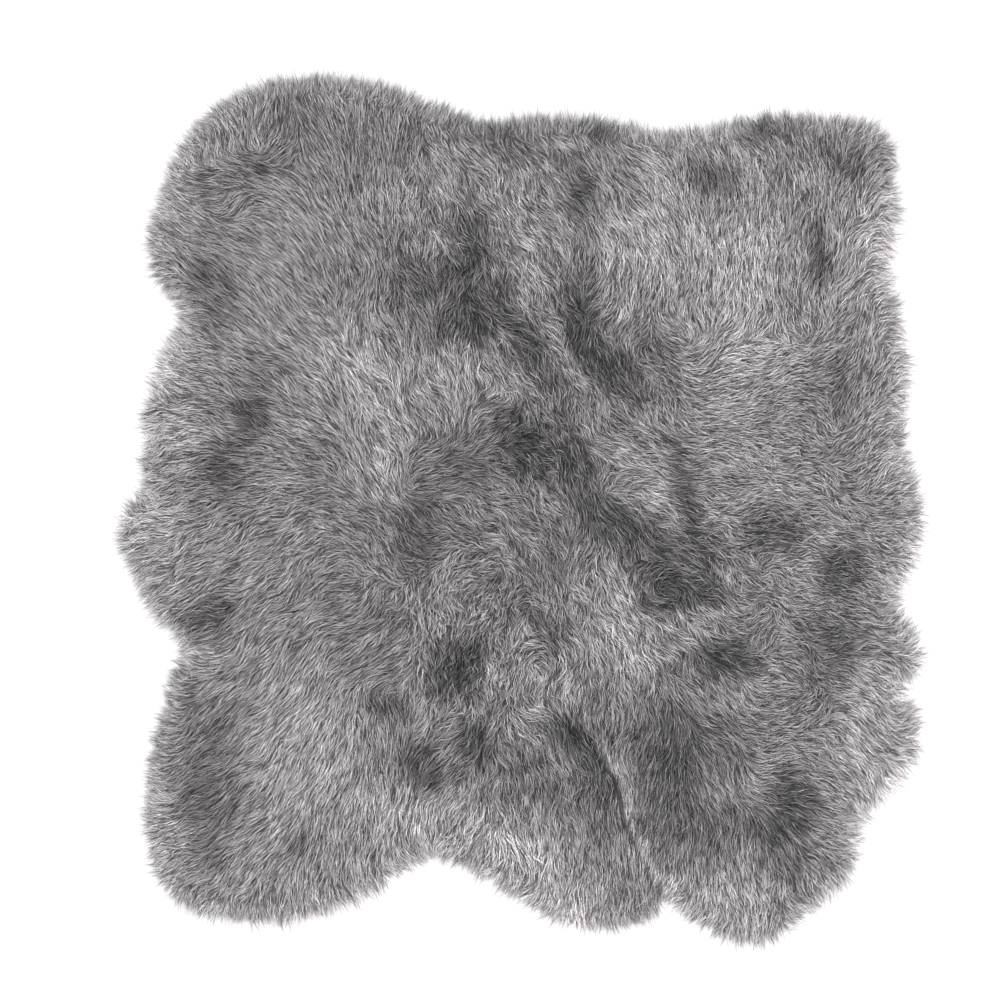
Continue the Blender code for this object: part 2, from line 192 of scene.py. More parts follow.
# The undercoat, in metres: drawn in and flat at the rim, higher inside and darkened there with painted
# shade
COAT_RIM, COAT_RIM_BAND, COAT_DRAWN = 0.018, 0.036, 0.016
COAT_SLOPE, COAT_CURVE = 0.060, 0.7
COAT_FLAT, COAT_LOW, COAT_HIGH = 0.012, 0.9 * MM, 2.4 * MM
COAT_HEIGHT, COAT_HEIGHT_INSIDE = 0.2, 0.42
COAT_TONE, COAT_PAINTED_SHADE_INSIDE = 0.75, 0.45
COAT_SHADES = (0.45, 0.45, 0.45), (1.0, 1.0, 1.0)

# The skin under the wool and the thread that sews the pelts together
SKIN_LOW = 0.8 * MM
SKIN_THICK = 1.4 * MM
WOOL_MEETS_FLOOR = 12.5 * MM  # only the wool proper, not a lock, is higher than this
FACING_DOWN = -0.9
SEAM_REACH = 1.0 * MM
SEAM_LEAST = 3  # points that two outlines share, for a seam
STITCH_PITCH = 6 * MM
STITCH_SLANT = math.radians(62)
STITCH_REACH = 3.2 * MM
STITCH_RADIUS = 0.4 * MM
STITCH_FORM = ((-1.0, 0.45), (-0.8, 0.9), (0.0, 1.0), (0.8, 0.9), (1.0, 0.45))
STITCH_GAP, STITCH_BOW = 0.1 * MM, 0.25 * MM
THREAD_CORNERS = (0.0, 0.5 * math.pi, math.pi, 1.5 * math.pi)
HIDE_COLOURS = (0.50, 0.44, 0.37), (0.68, 0.63, 0.56)
# the thread's colour, the darker one painted shade of its twisted plies
THREAD_COLOURS = (0.36, 0.33, 0.29), (0.55, 0.51, 0.46)

# Streaks of the combed wool: place, and angle from +X in degrees
Stroke = namedtuple("Stroke", "x y angle")
COMB = [Stroke(*row) for row in (
    (-64, 81, 110), (-54, 82, 92), (-42, 80, 118), (-31, 83, 103), (-24, 76, 92),
    (-67, 69, 178), (-56, 68, 170), (-46, 70, 118), (-34, 66, 100), (-24, 60, 95),
    (-72, 60, 150), (-62, 58, 160), (-52, 57, 142), (-43, 58, 125), (-35, 54, 112),
    (-72, 49, 145), (-60, 48, 143), (-49, 47, 135), (-38, 46, 125), (-31, 44, 70),
    (-26, 47, 130), (-66, 39, 150), (-55, 38, 140), (-44, 38, 140), (-34, 38, 115),
    (-25, 38, 120), (-70, 30, 172), (-58, 30, 158), (-47, 28, 140), (-37, 28, 120),
    (-28, 28, 112), (-72, 20, 180), (-60, 19, 165), (-50, 18, 148), (-40, 18, 130),
    (-30, 17, 122), (-72, 10, 178), (-58, 10, 175), (-47, 9, 165), (-38, 9, 125),
    (-29, 8, 110),
    (-78, -1, 22), (-66, -1, 15), (-54, -4, 35), (-47, -8, 50), (-38, -1, 172),
    (-30, -3, 135), (-72, -12, 35), (-60, -14, 25), (-52, -17, 48), (-43, -12, 60),
    (-38, -17, 30), (-33, -12, 150), (-26, -9, 140), (-68, -24, 5), (-57, -25, 48),
    (-47, -23, 35), (-38, -22, 33), (-30, -24, 42), (-66, -33, 12), (-57, -33, 55),
    (-47, -32, 63), (-37, -31, 45), (-27, -32, 22), (-70, -43, 35), (-60, -43, 38),
    (-50, -43, 58), (-40, -44, 68), (-31, -45, 108), (-70, -54, 28), (-60, -55, 45),
    (-50, -55, 62), (-40, -55, 70), (-29, -56, 88), (-70, -66, 20), (-60, -67, 35),
    (-50, -68, 50), (-42, -68, 72), (-32, -67, 78), (-70, -77, 35), (-60, -78, 50),
    (-50, -80, 65), (-40, -77, 82),
    (-15, 76, 112), (-5, 74, 127), (5, 74, 120), (15, 74, 125), (-15, 63, 112),
    (-5, 62, 124), (6, 62, 120), (16, 62, 122), (-15, 50, 98), (-5, 50, 120),
    (4, 50, 118), (12, 50, 92), (-15, 39, 105), (-6, 39, 125), (4, 38, 128),
    (11, 40, 94), (-15, 29, 92), (-7, 30, 110), (3, 27, 122), (12, 26, 95),
    (-18, 19, 112), (-12, 20, 60), (-5, 17, 45), (4, 17, 135), (11, 17, 105),
    (-20, 10, 30), (-11, 9, 8), (-3, 9, 160), (4, 9, 135), (11, 8, 115), (17, 8, 125),
    (-17, -1, 160), (-8, -1, 155), (1, -2, 138), (8, -3, 105), (14, -5, 92),
    (-17, -8, 175), (-9, -8, 178), (-1, -8, 140), (7, -10, 112), (-18, -16, 50),
    (-9, -16, 30), (-2, -14, 70), (4, -17, 108), (12, -18, 92), (19, -15, 100),
    (-18, -26, 100), (-9, -25, 45), (-2, -27, 75), (5, -28, 128), (12, -30, 95),
    (20, -30, 103), (-18, -34, 85), (-9, -34, 60), (-1, -36, 85), (4, -35, 30),
    (-18, -43, 62), (-9, -43, 58), (-2, -44, 95), (5, -44, 120), (13, -44, 95),
    (-20, -52, 45), (-11, -52, 52), (-2, -53, 92), (7, -53, 102), (15, -54, 108),
    (-20, -62, 65), (-11, -62, 60), (-1, -63, 90), (8, -63, 100), (17, -64, 92),
    (-20, -70, 85), (-10, -71, 80), (0, -72, 88), (9, -73, 98), (18, -74, 95),
    (3, -83, 100), (12, -84, 85), (22, -84, 88),
    (26, 76, 140), (37, 74, 100), (46, 76, 105), (56, 75, 108), (63, 75, 92),
    (72, 74, 60), (76, 76, 80), (22, 66, 128), (31, 65, 120), (40, 65, 95),
    (50, 65, 92), (60, 64, 90), (70, 62, 70), (76, 60, 50), (22, 54, 108),
    (32, 54, 105), (42, 54, 98), (52, 54, 95), (62, 53, 80), (70, 53, 52),
    (76, 50, 62), (19, 44, 75), (28, 44, 90), (37, 43, 85), (47, 43, 100),
    (58, 44, 85), (66, 42, 65), (75, 40, 68), (19, 37, 60),
    (22, 33, 110), (27, 30, 140), (33, 31, 155), (41, 31, 10), (50, 31, 178),
    (60, 31, 20), (68, 30, 62), (75, 29, 75), (20, 24, 115), (30, 23, 120),
    (40, 22, 178), (50, 22, 5), (60, 22, 160), (67, 21, 80), (74, 20, 50),
    (22, 12, 145), (32, 13, 152), (40, 12, 178), (50, 12, 178), (60, 13, 165),
    (68, 12, 25), (75, 12, 45), (22, 4, 178), (32, 3, 165), (42, 3, 172),
    (52, 3, 178), (62, 2, 155), (70, 5, 15), (77, 4, 30), (22, -3, 140),
    (30, -4, 135), (40, -5, 170), (52, -4, 175), (62, -4, 150), (70, -5, 165),
    (77, -4, 10), (20, -8, 105), (28, -9, 170), (38, -11, 150), (48, -12, 30),
    (58, -11, 175), (68, -12, 172), (77, -12, 160),
    (29, -16, 150), (38, -17, 120), (46, -18, 150), (54, -18, 20), (20, -22, 105),
    (27, -23, 135), (36, -23, 140), (44, -23, 160), (54, -24, 178), (65, -22, 175),
    (75, -22, 155), (27, -32, 125), (35, -32, 135), (43, -33, 155), (52, -32, 175),
    (60, -34, 135), (70, -31, 165), (78, -30, 155), (19, -41, 95), (28, -41, 100),
    (36, -42, 125), (44, -41, 150), (52, -42, 5), (61, -41, 50), (70, -41, 155),
    (78, -40, 145), (19, -50, 100), (27, -50, 75), (34, -50, 85), (42, -50, 130),
    (52, -50, 0), (61, -50, 150), (70, -50, 150), (78, -52, 135), (21, -59, 95),
    (28, -60, 80), (36, -60, 95), (43, -60, 120), (52, -60, 170), (62, -60, 165),
    (70, -60, 130), (21, -68, 108), (29, -70, 80), (37, -70, 88), (45, -70, 100),
    (54, -70, 125), (62, -70, 140), (69, -70, 125), (21, -78, 95), (30, -78, 85),
    (38, -78, 90), (47, -78, 108), (56, -78, 110), (64, -78, 128), (44, -88, 105),
    (54, -88, 95),
)]
COMB_REACH = 5.0  # a stroke combs the wool over about this many centimetres

# Short strokes for the whorls and fans between them
WHORLS = [Stroke(*row) for row in (
    (16.4, 7.5, 60), (20.6, 13, 138), (27.5, 7.5, 135), (20.2, 6.4, 20), (26.5, 2.2, 130),
    (25.4, -16.7, 70), (26.9, -12.9, 50), (29.6, -11.7, 0), (32.8, -13.5, 140), (34.4, -17.1, 110),
    (38, -16.7, 30), (37, -10.4, 110), (50.6, -27.2, 75), (52.7, -20.9, 120), (45.4, -37.7, 110),
    (34.9, -26, 132), (39, -33.5, 128), (-0.2, -2, 128), (-18.7, 5.4, 25), (-9.9, -0.3, 142),
    (-13, -9.1, 30), (-2.5, -10.8, 130), (3.8, -15.6, 117), (5, -10.8, 98), (-0.6, -18, 10),
    (-0.8, -23.6, 95), (-1.9, -31.4, 50), (1.5, -28.9, 5), (4.4, -32.4, 115), (-5.9, -37.3, 68),
    (-28.4, -23.6, 35), (-26, -6.2, 135), (-32, -17, 50), (-19.5, -16.5, 60), (-14.7, -21.3, 105),
    (7.6, 44.2, 120), (11.1, 44.2, 105), (14.3, 44.2, 72), (17.4, 41.7, 52), (20.6, 39, 42),
    (-8.2, 21, 40), (-12.4, 22.2, 85), (-15.5, 22.2, 125), (-19.7, 23.2, 135),
    (71, 14.8, 70), (67.4, 12.3, 33), (61.7, 15.4, 125), (73, 7.5, 60), (76.9, 10.6, 60),
    (64.3, 6.4, 130), (67.4, 0.1, 138), (70.1, -5.1, 140), (54.8, 2.2, 170), (51.7, -8.3, 28),
    (46.4, -12, 110), (42.4, -13.1, 120), (53.8, -14.6, 125), (49.6, -21.9, 45), (73.7, -16.7, 140),
    (65.3, -27.6, 20), (-50, 74, 50), (-49, 69, 150), (-59.6, 64, 45), (-59.6, 70, 160),
    (-67, 75, 90), (-30.2, 46.3, 60), (-36, 42, 60), (24, 37, 45), (30, 37, 120),
    (38, 38.7, 97), (38, 33.3, 45), (30, 30, 140), (42.8, 37.3, 55), (47.7, 39.8, 65),
    (55.8, 38.1, 108), (49, 24, 25), (55, 22, 28), (52, 30, 20),
)]
WHORL_REACH = 2.6
WHORL_FORCE = 4.0  # how much stronger than the others they pull the wool

# Creases, where the wool parts and few strands cross: middle, heading in degrees, length in
# centimetres and how deep each is beside the usual
Crease = namedtuple("Crease", "x y heading length depth", defaults=(1.0,))
CREASES = [Crease(*row) for row in (
    # the long parting down the front middle
    (7, -33.5, 95, 13, 1.4), (9.5, -44.5, 112, 7, 1.3), (12, -47, 155, 5, 1.4),
    (16.5, -52.2, 120, 11, 1.5), (20.4, -61.8, 104, 11, 1.5), (24.1, -71.8, 117, 11, 1.4),
    (28.4, -79.6, 120, 8, 1.2),
    # the back left shoulder
    (-49.1, 83.5, 92, 11), (-52.4, 72.6, 45, 7.4), (-58.6, 63.6, 49, 9.7), (-68, 70.3, 160, 3),
    (-65.3, 70.3, 22, 3), (-25.6, 47.3, 90, 15), (-30.5, 43.5, 80, 5),
    # the middle
    (11.5, 42.5, 100, 5), (10.5, 35.8, 117, 5.6), (14.8, 32.3, 153, 5.9),
    (16.5, 25.5, 117, 10.8), (-9.2, 36.9, 78, 4.3), (13.3, 10.6, 113, 11),
    (35.1, -3.5, 114, 19.6), (34.5, -18.5, 20, 4), (30.5, -17.5, 160, 4),
    (41.5, -31.5, 150, 6), (-13.5, -35.5, 88, 5), (-2.4, -33.8, 110, 5),
    # the right and the front left
    (67, 71, 128, 12), (62.2, 54.7, 90, 11), (57.5, 44, 90, 3.5), (-46, -69, 90, 5),
    (-54, -66, 90, 4),
)]
CREASE_WIDTH = 3.6 * MM
CREASE_DIP = 5 * MM
# how much painted shade darkens the wool along a crease
CREASE_PAINTED_SHADE = 0.3
CREASE_KEPT = 0.55  # the share of the crossing strands that end on a crease
CREASE_LAP = 0.08  # and how unevenly they do, as a share of their length
CUT_AT_LEAST = 0.45  # of which each keeps at least this much

# Darker and lighter patches: middle, heading of the long way in degrees, length and width in
# centimetres, and the change of tone in percent
Patch = namedtuple("Patch", "x y heading length width change")
PATCHES = [Patch(*row) for row in (
    (-11, 51, 95, 24, 8, -30), (-20.5, 48.5, 0, 12, 8, -28), (-13.5, 40, 20, 15, 9, -26),
    (-9.5, 37.5, 90, 8, 6, -12), (1.6, 34, 122, 24, 5.6, -34), (12.5, 57, 95, 26, 6, -16),
    (12, 40, 100, 17, 8, -30), (19, 29, 125, 15, 8, -30), (-0.5, 15.5, 110, 14, 9, -28),
    (9.5, 12.5, 110, 18, 8, -28), (4, 8.5, 150, 18, 8, -14), (18.5, -2.5, 140, 14, 8, -34),
    (26.5, -9, 130, 16, 10, -22), (36, -8, 100, 20, 7, -26), (31.5, -17, 0, 15, 8, -26),
    (51.5, -4, 0, 13, 10, -23), (66, -12, 60, 12, 9, -24), (63, -28, 90, 20, 13, -18),
    (41.6, -31, 0, 12, 9, -29), (-22, -5, 90, 19, 9, -21), (-14.5, -33, 60, 13, 10, -31),
    (6.5, -27.5, 110, 12, 7, -16), (-29, -40.5, 0, 8, 5, -26), (-21.5, -53, 120, 12, 8, -30),
    (-10, -48, 60, 9, 8, -31), (9.5, -47, 150, 11, 7, -26), (15, -55, 110, 12, 6, -16),
    (16, -64, 95, 20, 8, -10), (29, -50, 90, 20, 16, -21), (42, -47, 0, 16, 12, -10),
    (34.5, -66, 0, 22, 11, -16), (55, -60, 110, 12, 10, -32), (53.5, -70, 110, 16, 9, -24),
    (-65, -57, 90, 34, 12, -14), (-65.5, -22.5, 10, 11, 7, -25), (-57, 19.5, 90, 12, 6, -23),
    (-62, 8, 90, 10, 8, -23), (-64.5, 44, 90, 16, 10, -14), (-2, 77, 170, 22, 8, -16),
    (11, 69, 110, 14, 6, -14), (16.4, 78.5, 0, 6, 5, -20), (39, 70, 160, 12, 6, -24),
    (51, 79.5, 0, 13, 6, -18), (66.5, 73, 130, 11, 7, -16), (61.5, 53, 90, 18, 4, -18),
    (28.5, 31, 110, 14, 6, -14), (32.5, 8, 108, 18, 3, -18), (66, 27, 100, 16, 4, -12),
    (-47, -70, 90, 6, 4, -20), (2, -56, 0, 20, 12, -11), (-54, 71, 0, 5, 4, -12),
    (-49.5, 29.5, 0, 6, 4, -10), (-47, 84, 0, 13, 9, -10), (-67, 67, 0, 5, 6, -12),
    (-13, 12, 0, 14, 12, -8),
    (26, 54, 100, 24, 24, 14), (47, 54, 0, 18, 18, 14), (71.5, 54.5, 90, 24, 12, 12),
    (0, 53, 110, 15, 9, 10), (-30, 24, 100, 40, 12, 10), (-43, 31, 0, 26, 18, 7),
    (-13.5, 28, 0, 18, 11, 7), (21, -28.5, 100, 20, 9, 15), (-43, -50, 85, 46, 30, 11),
    (-16, -65, 160, 28, 12, 14), (3, -74, 140, 26, 12, 20), (-75, 10, 90, 48, 14, 8),
    (25.4, 7.5, 0, 12, 12, 10), (48, 24, 90, 44, 22, 9), (27.5, 70, 0, 16, 10, 8),
    (47.5, 71, 90, 10, 6, 14), (72.7, -45, 90, 30, 12, 12), (40, -84, 0, 24, 8, 8),
    (12, -82, 0, 16, 8, 8), (74, 25, 90, 40, 8, 10), (-26, 65, 90, 9, 8, 12),
    (-1, -31.5, 90, 8, 5, 8), (-36, 72, 0, 26, 20, -3),
    (56, 33, 90, 22, 24, 4), (-46, -11, 0, 34, 26, 5), (0, -7, 90, 26, 24, -6),
    (38, -57, 90, 34, 24, -8),
    # the bright ridge on the right of the long parting: a painted highlight where the ridge catches the
    # light
    (8.4, -33.5, 95, 13, 2.2, 16), (17.8, -51.2, 120, 11, 2.2, 22), (21.8, -61.5, 104, 11, 2.2, 24),
    (25.6, -71, 117, 11, 2.2, 20), (29.8, -79, 120, 8, 2, 12),
)]
DARK_GAIN = 1.6  # strands that reach into a dark patch take some of its change away
DARKEST = 46.0  # where dark patches overlap, the change comes near this and not further

# Where the wool lies in rougher or smoother tufts than elsewhere: middle, reach in centimetres
# and the change from the usual roughness
Rough = namedtuple("Rough", "x y reach change")
ROUGH = [Rough(*row) for row in (
    (32.8, -16.7, 18, 0.6), (-9, -15, 15, 0.4), (-9, -45, 17, 0.5), (11.8, 39, 12, 0.5),
    (50, -62, 14, 0.3), (-57.5, 49.5, 20, -0.45), (31, -63, 15, -0.3), (50.6, 21, 18, -0.35),
    (4, 14, 12, 0.6), (-12, 48, 12, 0.4), (-5, -29, 12, 0.4), (30, 56, 12, -0.3),
    (-43, -55, 24, -0.42), (-40, 76, 20, -0.42), (46, 60, 18, -0.3), (38, -68, 16, -0.2),
)]
USUAL_ROUGHNESS = 0.6
ROUGHNESS_RANGE = (0.15, 1.3)

# Where the wool is short and less combed: middle and reach in centimetres
Fuzz = namedtuple("Fuzz", "x y reach")
FUZZY = [Fuzz(*row) for row in (
    (60, 5, 15), (58, 24, 17), (62, -18, 14), (-15, -20, 12), (-10, -33, 10), (58, -40, 12),
    (42, -4, 8), (-40, -8, 12), (30, 26, 9), (2, 12, 8),
)]
FUZZY_TURN = 0.6  # there strands turn this much more, as a share of the usual
FUZZY_CUT = 0.3  # and are this much shorter


def place(x, y):
    """A place in the tables, in metres of the frame."""
    return np.array((x, y)) * CM + RUG_MIDDLE


def bell(gx, gy, spot, reach):
    """A bell curve over the map, around a row's place and as wide as a reach in centimetres."""
    at = place(spot.x, spot.y)
    return np.exp(-((gx - at[0]) ** 2 + (gy - at[1]) ** 2) / (reach * CM) ** 2)


def blur(field, reach):
    """A map smoothed with a bell curve of the given reach in metres; it wraps at the border."""
    sigma = reach / MAP_STEP
    fy = np.fft.fftfreq(field.shape[0])[:, None]
    fx = np.fft.rfftfreq(field.shape[1])[None, :]
    bell = np.exp(-2 * (math.pi * sigma) ** 2 * (fx ** 2 + fy ** 2))
    return np.fft.irfft2(np.fft.rfft2(field) * bell, s=field.shape)


class Maps:
    """Height, pelt, distance to the rim, streak direction and tone over the rug."""

    def __init__(self, nodes, rng):
        low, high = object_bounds()
        self.x0, self.y0 = low.x - MAP_MARGIN, low.y - MAP_MARGIN
        self.nx = int((high.x - low.x + 2 * MAP_MARGIN) / MAP_STEP) + 1
        self.ny = int((high.y - low.y + 2 * MAP_MARGIN) / MAP_STEP) + 1
        self.x = self.x0 + MAP_STEP * np.arange(self.nx)
        self.y = self.y0 + MAP_STEP * np.arange(self.ny)
        self.rng = rng
        self.read_surface(nodes, high.z + MAP_MARGIN)
        self.find_rim()
        self.roughen()
        self.comb()
        self.shade()

    def read_surface(self, nodes, above):
        """Height of the wool and which pelt it is, at each point of the maps."""
        points, faces, owner = [], [], []
        for k, node in enumerate(nodes):
            first = len(points)
            points += [v.co.copy() for v in node.data.vertices]
            faces += [[first + i for i in face.vertices] for face in node.data.polygons]
            owner += [k] * len(node.data.polygons)
        tree = BVHTree.FromPolygons(points, faces)
        self.top = np.zeros((self.ny, self.nx))
        self.pelt = np.full((self.ny, self.nx), -1)
        down = Vector((0, 0, -1))
        for j, y in enumerate(self.y):
            for i, x in enumerate(self.x):
                hit = tree.ray_cast(Vector((x, y, above)), down)
                if hit[0] is not None:
                    self.top[j, i] = hit[0].z
                    self.pelt[j, i] = owner[hit[2]]

    def find_rim(self):
        """Distance inwards from the middle of the rim locks, and the way out of the rug."""
        covered = blur((self.pelt >= 0).astype(float), RIM_BLUR)
        within = covered > 0.5
        edge = within & ~(np.roll(within, 1, 0) & np.roll(within, -1, 0)
                          & np.roll(within, 1, 1) & np.roll(within, -1, 1))
        rows, columns = np.nonzero(edge)
        tree = kdtree.KDTree(len(rows))
        for k, (j, i) in enumerate(zip(rows, columns)):
            tree.insert((self.x[i], self.y[j], 0.0), k)
        tree.balance()
        self.depth = np.zeros_like(self.top)
        for j, y in enumerate(self.y):
            for i, x in enumerate(self.x):
                self.depth[j, i] = tree.find((x, y, 0.0))[2]
        self.depth[~within] *= -1
        soft = blur(self.depth, OUT_BLUR)
        down_y, down_x = np.gradient(-soft)
        size = np.hypot(down_x, down_y) + TINY
        self.out_x, self.out_y = down_x / size, down_y / size
        self.soft_top = blur(self.top, TOP_BLUR)

    def spread_noise(self, reach):
        """Smooth noise of unit spread."""
        field = blur(self.rng.standard_normal(self.top.shape), reach)
        return field / field.std()

    def comb(self):
        """Blends the strokes as undirected streaks, then points each streak down and outwards."""
        gx, gy = np.meshgrid(self.x, self.y)
        twice_x, twice_y = np.zeros_like(gx), np.zeros_like(gx)
        weights = np.full_like(gx, 1e-6)
        strokes = [(stroke, COMB_REACH, 1.0) for stroke in COMB]
        strokes += [(stroke, WHORL_REACH, WHORL_FORCE) for stroke in WHORLS]
        for stroke, reach, force in strokes:
            weight = force * bell(gx, gy, stroke, reach)
            twice_x += weight * math.cos(math.radians(2 * stroke.angle))
            twice_y += weight * math.sin(math.radians(2 * stroke.angle))
            weights += weight
        twice_x /= weights
        twice_y /= weights
        near_rim = np.exp(-(np.maximum(self.depth, 0) / RIM_TURN_REACH) ** 2)
        near_rim *= RIM_TURN * (1 - BACK_RIM_LESS * np.clip(self.out_y, 0, 1))
        out_angle = np.arctan2(self.out_y, self.out_x)
        twice_x += near_rim * np.cos(2 * out_angle)
        twice_y += near_rim * np.sin(2 * out_angle)
        waver = sum(WAVER * self.spread_noise(reach) for reach in WAVER_REACHES)
        waver *= LEAST_WAVER + self.rough
        angle = 0.5 * np.arctan2(twice_y, twice_x) + waver
        self.twice_x, self.twice_y = np.cos(2 * angle), np.sin(2 * angle)
        self.flow_x, self.flow_y = gx / FLOW_OUT, np.full_like(gx, -FLOW_DOWN)
        self.fan_x = np.cos(out_angle + FAN_WAVER * waver)
        self.fan_y = np.sin(out_angle + FAN_WAVER * waver)

    def roughen(self):
        """How rough the wool is over the rug, and the uneven grid of its tufts."""
        gx, gy = np.meshgrid(self.x, self.y)
        self.rough = np.full_like(gx, USUAL_ROUGHNESS)
        for area in ROUGH:
            self.rough += area.change * bell(gx, gy, area, area.reach)
        self.rough = np.clip(self.rough, *ROUGHNESS_RANGE)
        self.fuzz = np.zeros_like(gx)
        for area in FUZZY:
            self.fuzz += bell(gx, gy, area, area.reach)
        self.fuzz = np.clip(self.fuzz, 0, 1)
        self.drift_x = TUFT_DRIFT * self.spread_noise(TUFT_DRIFT_REACH)
        self.drift_y = TUFT_DRIFT * self.spread_noise(TUFT_DRIFT_REACH)
        rows, columns = np.mgrid[self.y[0]:self.y[-1]:TUFT_SPACING, self.x[0]:self.x[-1]:TUFT_SPACING]
        self.tufts = np.stack((columns.ravel(), rows.ravel()), 1)
        self.tufts += self.rng.uniform(-TUFT_UNEVEN, TUFT_UNEVEN, self.tufts.shape) * TUFT_SPACING

    def shade(self):
        """Tone of the wool, from the patches with wavering edges, and the painted light that makes it pale
        at the rim.
        """
        gx, gy = np.meshgrid(self.x, self.y)
        gx = gx + EDGE_WAVER * self.spread_noise(EDGE_WAVER_REACH)
        gy = gy + EDGE_WAVER * self.spread_noise(EDGE_WAVER_REACH)
        change = np.zeros_like(gx)
        for patch in PATCHES:
            at = place(patch.x, patch.y)
            turn = math.radians(patch.heading)
            along = (gx - at[0]) * math.cos(turn) + (gy - at[1]) * math.sin(turn)
            across = (gy - at[1]) * math.cos(turn) - (gx - at[0]) * math.sin(turn)
            spread = (along / (0.5 * patch.length * CM)) ** 2 + (across / (0.5 * patch.width * CM)) ** 2
            change += patch.change * np.exp(-PATCH_FALL * spread ** PATCH_FLAT)
        change = np.where(change < 0, DARKEST * np.tanh(DARK_GAIN * change / DARKEST), change)
        uneven = sum(size * self.spread_noise(reach) for size, reach in UNEVEN)
        change += (UNEVEN_LEAST + UNEVEN_ROUGH * self.rough) * uneven
        change += BROAD * self.spread_noise(BROAD_REACH)
        self.tone = np.maximum(1 + change / 100, LOWEST_TONE) ** GREY_TO_LIGHT
        # painted light: paler at the rim, most on the right and least at the back
        pale = PALE_RIM + PALE_RIGHT * np.clip(self.out_x, 0, 1)
        pale -= PALE_BACK * np.clip(self.out_y, 0, 1)
        self.painted_light_and_shade = 1 + pale * np.exp(-np.maximum(self.depth + PALE_FROM, 0) / PALE_REACH)
        self.crease()

    def crease(self):
        """Lowers the wool along the creases and darkens it there with painted shade."""
        gx, gy = np.meshgrid(self.x, self.y)
        for crease in CREASES:
            at, way = place(crease.x, crease.y), half_way(crease)
            share = ((gx - at[0]) * way[0] + (gy - at[1]) * way[1]) / way.dot(way)
            share = np.clip(share, -1, 1)
            off = np.hypot(gx - at[0] - share * way[0], gy - at[1] - share * way[1])
            near = crease.depth * np.exp(-(off / CREASE_WIDTH) ** 2)
            self.soft_top -= CREASE_DIP * near
            # painted shade: the wool is darkened along each crease
            self.painted_light_and_shade *= 1 - CREASE_PAINTED_SHADE * near

    def look_up(self, field, points):
        """Values of a map between its grid points."""
        fx = np.clip((points[:, 0] - self.x0) / MAP_STEP, 0, self.nx - 1.001)
        fy = np.clip((points[:, 1] - self.y0) / MAP_STEP, 0, self.ny - 1.001)
        i, j = fx.astype(int), fy.astype(int)
        u, v = fx - i, fy - j
        return ((1 - v) * ((1 - u) * field[j, i] + u * field[j, i + 1])
                + v * ((1 - u) * field[j + 1, i] + u * field[j + 1, i + 1]))

    def pelt_at(self, points):
        """Number of the pelt at each point, or -1 beside the rug."""
        i = np.clip(np.rint((points[:, 0] - self.x0) / MAP_STEP).astype(int), 0, self.nx - 1)
        j = np.clip(np.rint((points[:, 1] - self.y0) / MAP_STEP).astype(int), 0, self.ny - 1)
        return self.pelt[j, i]

    def streak(self, points, ahead):
        """Direction of the streak at each point, on the side of the given way ahead."""
        angle = 0.5 * np.arctan2(self.look_up(self.twice_y, points), self.look_up(self.twice_x, points))
        way = np.stack((np.cos(angle), np.sin(angle)), 1)
        return np.where(np.sum(way * ahead, 1) < 0, -1.0, 1.0)[:, None] * way

    def flow(self, points):
        """The general lie of the wool: down the photograph and outwards."""
        return np.stack((self.look_up(self.flow_x, points), self.look_up(self.flow_y, points)), 1)

    def fan(self, points):
        """The way out of the rug, a little uneven."""
        way = np.stack((self.look_up(self.fan_x, points), self.look_up(self.fan_y, points)), 1)
        return way / (np.linalg.norm(way, axis=1)[:, None] + TINY)


def scattered(maps, spacing, least_depth, most_depth, rng):
    """Unevenly spread points within a band inside the rim."""
    columns = np.arange(maps.x[0], maps.x[-1], spacing)
    rows = np.arange(maps.y[0], maps.y[-1], spacing)
    gx, gy = np.meshgrid(columns, rows)
    points = np.stack((gx.ravel(), gy.ravel()), 1) + rng.uniform(-0.5, 0.5, (gx.size, 2)) * spacing
    depth = maps.look_up(maps.depth, points)
    points = points[(depth > least_depth) & (depth < most_depth)]
    return points[maps.pelt_at(points) >= 0]


def band_area(maps, least_depth, most_depth):
    """Area of a band inside the rim."""
    return np.count_nonzero((maps.depth > least_depth) & (maps.depth < most_depth)) * MAP_STEP ** 2


def nearest(points, centres):
    """Number of the centre that is nearest to each point."""
    tree = kdtree.KDTree(len(centres))
    for k, centre in enumerate(centres):
        tree.insert((centre[0], centre[1], 0.0), k)
    tree.balance()
    return np.array([tree.find((p[0], p[1], 0.0))[1] for p in points])


def turned(way, angle):
    """Directions in the plane, each turned by its angle."""
    c, s = np.cos(angle), np.sin(angle)
    return np.stack((way[:, 0] * c - way[:, 1] * s, way[:, 0] * s + way[:, 1] * c), 1)


def body_paths(maps, middles, turn, length, rng):
    """Three plan points of each strand, followed along the streaks both ways from its middle."""
    half = 0.5 * length[:, None]
    ahead = maps.flow(middles)
    way = maps.streak(middles, ahead)
    lean = np.sum(way * ahead, 1) / np.linalg.norm(ahead, axis=1)
    way *= np.where(rng.random(len(way)) < 0.5 - LEAN_SPLIT * lean, -1.0, 1.0)[:, None]
    root = middles - turned(maps.streak(middles - way * half / 2, way), turn) * half
    tip = middles + turned(maps.streak(middles + way * half / 2, way), turn) * half
    return np.stack((root, middles, tip), 1)


def fringe_paths(maps, roots, turn, length):
    """Three plan points of each fringe strand, from its root out over the rim."""
    half = 0.5 * length[:, None]
    middles = roots + turned(maps.fan(roots), turn) * half
    return np.stack((roots, middles, middles + turned(maps.fan(middles), turn) * half), 1)


def half_way(crease):
    """From the middle of a crease to one of its ends."""
    heading = math.radians(crease.heading)
    return 0.5 * crease.length * CM * np.array((math.cos(heading), math.sin(heading)))


